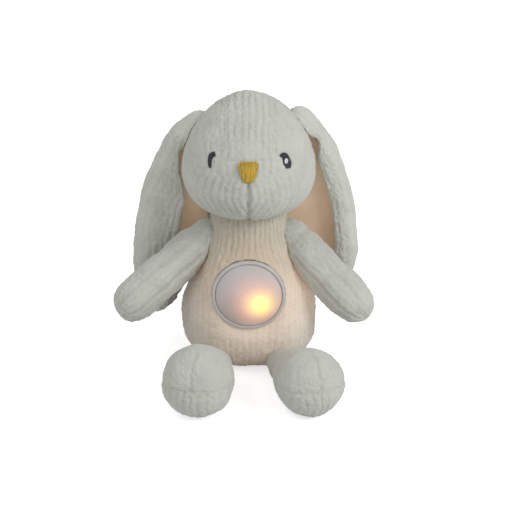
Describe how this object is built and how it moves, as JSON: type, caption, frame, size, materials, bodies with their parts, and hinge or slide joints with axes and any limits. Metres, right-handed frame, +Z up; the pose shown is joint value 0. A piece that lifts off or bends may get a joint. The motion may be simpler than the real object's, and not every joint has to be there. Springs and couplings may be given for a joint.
{
  "type": "plush soother",
  "caption": "Seated lop-eared plush rabbit in ribbed chenille with a round push lamp in its belly and a battery sound box behind a flap in its back.",
  "frame": {"origin": "centre of the flat seat under the torso, on the surface the toy sits on", "axes": "+Z up, -Y the way the rabbit looks, +X to the rabbit's left"},
  "size_m": [0.2197, 0.1986, 0.2385],
  "materials": {
    "plush": "ribbed chenille pile",
    "lining": "short velour pile",
    "nose_thread": "satin stitch",
    "dark_thread": "satin stitch",
    "white_thread": "satin stitch",
    "tape": "hook and loop tape",
    "ring_plastic": "satin moulded",
    "lens_plastic": "frosted translucent",
    "white_plastic": "moulded",
    "board": "solder mask",
    "led_resin": "clear moulded",
    "dark_plastic": "moulded",
    "grey_plastic": "moulded",
    "steel": "plated",
    "cell_sleeve": "plain sleeve",
    "lead_sheath": "smooth"
  },
  "bodies": {
    "torso": {"torso": "plush", "tail": "plush", "loop_strip": "tape", "bezel_ring": "ring_plastic", "light_housing": "white_plastic", "reflector": "white_plastic", "light_board": "board", "led_1": "led_resin", "led_2": "led_resin", "led_3": "led_resin", "lamp_switch": "dark_plastic", "board_screw_1": "steel", "board_screw_2": "steel", "board_screw_3": "steel", "lamp_plug": "white_plastic", "box_plug": "white_plastic", "lead": "lead_sheath", "box_front_shell": "white_plastic", "box_rear_shell": "white_plastic", "battery_door": "white_plastic", "shell_screw_1": "steel", "shell_screw_2": "steel", "door_screw": "steel", "cell_1": "cell_sleeve", "cell_2": "cell_sleeve", "cell_3": "cell_sleeve", "contact_left": "steel", "contact_right": "steel", "main_board": "board", "slide_switch": "steel", "mode_switch": "dark_plastic", "volume_switch": "dark_plastic", "speaker_frame": "steel", "speaker_cone": "dark_plastic", "speaker_magnet": "steel"},
    "head": {"head": "plush", "nose": "nose_thread", "eye_left": "dark_thread", "eye_right": "dark_thread", "eye_glint_left": "white_thread", "eye_glint_right": "white_thread"},
    "ear_left": {"ear_left": "plush", "ear_lining_left": "lining"},
    "ear_right": {"ear_right": "plush", "ear_lining_right": "lining"},
    "arm_left": {"arm_left": "plush"},
    "arm_right": {"arm_right": "plush"},
    "leg_left": {"leg_left": "plush"},
    "leg_right": {"leg_right": "plush"},
    "lens": {"lens_dome": "lens_plastic"},
    "flap": {"back_flap": "plush", "hook_strip": "tape"},
    "power_switch": {"power_switch": "dark_plastic"},
    "mode_button": {"mode_button": "grey_plastic"},
    "volume_button": {"volume_button": "grey_plastic"}
  },
  "joints": [
    {"name": "head_nod", "type": "hinge", "parent": "torso", "child": "head", "pos_m": [0, 0, 0.124], "axis": [1, 0, 0], "range_deg": [-5, 12], "stiffness_Nm_per_rad": 1},
    {"name": "ear_lift_left", "type": "hinge", "parent": "head", "child": "ear_left", "pos_m": [0.041, 0.004, 0.21], "axis": [0, -1, 0], "range_deg": [0, 90]},
    {"name": "ear_lift_right", "type": "hinge", "parent": "head", "child": "ear_right", "pos_m": [-0.041, 0.004, 0.21], "axis": [0, 1, 0], "range_deg": [0, 90]},
    {"name": "arm_raise_left", "type": "hinge", "parent": "torso", "child": "arm_left", "pos_m": [0.03529, -0.004, 0.112], "axis": [0, -1, 0], "range_deg": [0, 60]},
    {"name": "arm_raise_right", "type": "hinge", "parent": "torso", "child": "arm_right", "pos_m": [-0.03529, -0.004, 0.112], "axis": [0, 1, 0], "range_deg": [0, 60]},
    {"name": "leg_raise_left", "type": "hinge", "parent": "torso", "child": "leg_left", "pos_m": [0.02784, -0.04702, 0.0135], "axis": [-1, 0, 0], "range_deg": [-30, 20], "stiffness_Nm_per_rad": 0.3},
    {"name": "leg_raise_right", "type": "hinge", "parent": "torso", "child": "leg_right", "pos_m": [-0.02784, -0.04702, 0.0135], "axis": [-1, 0, 0], "range_deg": [-30, 20], "stiffness_Nm_per_rad": 0.3},
    {"name": "lens_press", "type": "slide", "parent": "torso", "child": "lens", "axis": [0, 1, 0], "range_m": [0, 0.0015], "stiffness_N_per_m": 1000, "springref_m": -0.0005},
    {"name": "flap_lift", "type": "hinge", "parent": "torso", "child": "flap", "pos_m": [0, 0.04322, 0.0889], "axis": [1, 0, 0], "range_deg": [0, 110]},
    {"name": "power_slide", "type": "slide", "parent": "torso", "child": "power_switch", "axis": [1, 0, 0], "range_m": [0, 0.004]},
    {"name": "mode_press", "type": "slide", "parent": "torso", "child": "mode_button", "axis": [0, -1, 0], "range_m": [0, 0.001], "stiffness_N_per_m": 800, "springref_m": -0.0005},
    {"name": "volume_press", "type": "slide", "parent": "torso", "child": "volume_button", "axis": [0, -1, 0], "range_m": [0, 0.001], "stiffness_N_per_m": 800, "springref_m": -0.0005}
  ]
}
